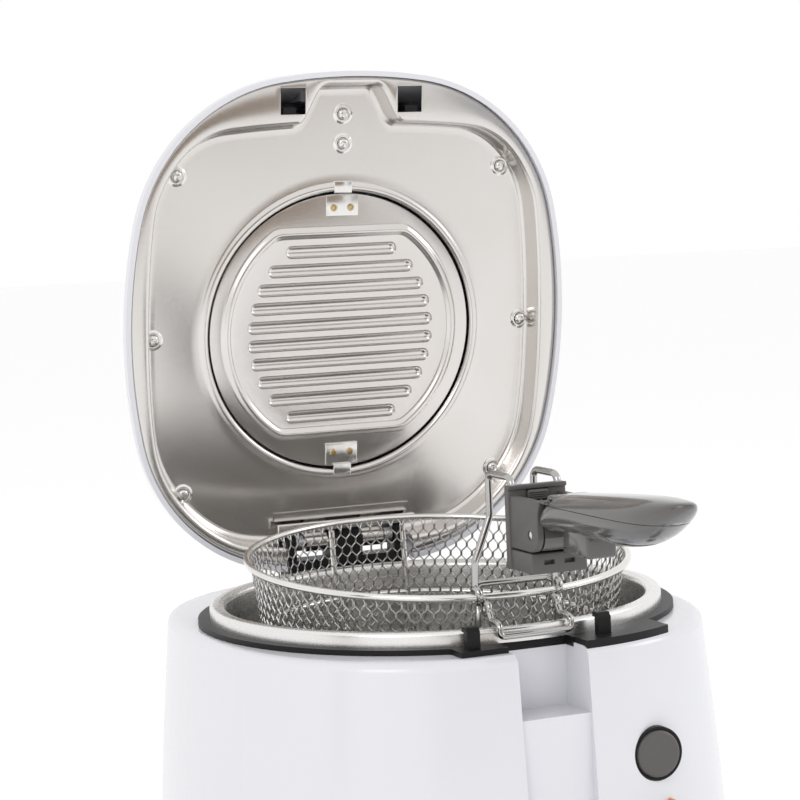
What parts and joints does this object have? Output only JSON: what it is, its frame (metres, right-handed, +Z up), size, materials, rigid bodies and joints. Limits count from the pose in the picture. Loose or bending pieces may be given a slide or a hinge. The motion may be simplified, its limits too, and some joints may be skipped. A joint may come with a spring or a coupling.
{
  "type": "deep fryer",
  "caption": "Table-top deep fryer with a round bowl in a white housing, a hinged steel-lined lid held open, and a wire basket with a folding handle hung up to drain.",
  "frame": {"origin": "middle of the base, on the plane that the feet stand on", "axes": "+Z up, -Y is the front with the handle and the power button, +X to the right seen from the front"},
  "size_m": [0.2574, 0.4082, 0.4487],
  "materials": {
    "white_plastic": "glossy lilac white moulding",
    "black_plastic": "satin black moulding",
    "bowl_metal": "satin coated metal",
    "lining_steel": "pressed satin steel",
    "bright_steel": "bright plated wire",
    "basket_wire": "bright plated mesh",
    "grey_plastic": "glossy grey moulding",
    "grey_matte": "satin grey moulding",
    "dial_plastic": "satin moulding",
    "inner_plastic": "dark technical plastic",
    "sheet_steel": "plain sheet and rod",
    "lens": "tinted lens",
    "rubber": "soft feet",
    "filter": "felt filter pad"
  },
  "bodies": {
    "root": {"housing": "white_plastic", "bowl_ring": "black_plastic", "bowl": "bowl_metal", "latch_hooks": "black_plastic", "feet": "rubber", "base_plate": "inner_plastic", "base_screws": "sheet_steel", "heating_element": "sheet_steel", "element_clamp": "sheet_steel", "heat_shield": "sheet_steel", "power_switch": "inner_plastic", "button_bezel": "black_plastic", "thermostat": "inner_plastic", "lamp_lenses": "lens", "lamp_holders": "inner_plastic", "terminal_block": "inner_plastic", "thermal_fuse": "sheet_steel", "cord_inlet": "black_plastic", "hinge_base": "black_plastic", "hinge_pin": "bright_steel", "hinge_springs": "sheet_steel", "front_rest": "bright_steel"},
    "lid": {"lid_shell": "white_plastic", "lid_lining": "lining_steel", "lid_screws": "bright_steel", "filter_cover": "lining_steel", "filter_pad": "filter", "filter_tabs": "lining_steel", "filter_rivets": "bright_steel", "hinge_leaf": "lining_steel"},
    "latch": {"latch_slider": "black_plastic"},
    "release": {"release_button": "white_plastic"},
    "basket": {"basket_rim": "bright_steel", "basket_mesh": "basket_wire", "basket_wires": "bright_steel", "handle_wires": "bright_steel", "handle_plate": "grey_matte", "handle_pin": "bright_steel"},
    "grip": {"grip_upper": "grey_plastic", "grip_lower": "grey_plastic"},
    "thumb": {"thumb_button": "grey_matte"},
    "button": {"power_button": "grey_matte"},
    "dial": {"temperature_dial": "dial_plastic", "dial_shaft": "sheet_steel"}
  },
  "joints": [
    {"name": "lid_hinge", "type": "hinge", "parent": "root", "child": "lid", "pos_m": [0, 0.11344, 0.20245], "axis": [1, 0, 0], "range_deg": [0, 82.7], "stiffness_Nm_per_rad": 0.8, "springref_deg": -45.84},
    {"name": "basket_lift", "type": "slide", "parent": "root", "child": "basket", "axis": [0, 0, -1], "range_m": [0, 0.0616]},
    {"name": "grip_fold", "type": "hinge", "parent": "basket", "child": "grip", "pos_m": [0, -0.145, 0.234], "axis": [1, 0, 0], "range_deg": [0, 90.1]},
    {"name": "release_press", "type": "slide", "parent": "lid", "child": "release", "axis": [0, 0.1271, -0.9919], "range_m": [0, 0.003], "stiffness_N_per_m": 600, "springref_m": -0.002},
    {"name": "latch_slide", "type": "slide", "parent": "lid", "child": "latch", "axis": [0, 0.1271, -0.9919], "range_m": [0, 0.0031]},
    {"name": "thumb_slide", "type": "slide", "parent": "basket", "child": "thumb", "axis": [0, 0, -1], "range_m": [0, 0.003], "stiffness_N_per_m": 400, "springref_m": -0.002},
    {"name": "power_press", "type": "slide", "parent": "root", "child": "button", "axis": [0, 1, 0], "range_m": [0, 0.003], "stiffness_N_per_m": 600, "springref_m": -0.001},
    {"name": "dial_turn", "type": "hinge", "parent": "root", "child": "dial", "pos_m": [0.047, -0.14, 0.08], "axis": [0, -1, 0], "range_deg": [-270, 0]}
  ],
  "couplings": [
    {"joint": "basket_lift", "follows": "lid_hinge", "m_per_rad": 0.042608},
    {"joint": "grip_fold", "follows": "lid_hinge", "ratio": 1.0883},
    {"joint": "latch_slide", "follows": "release_press", "ratio": 1}
  ]
}
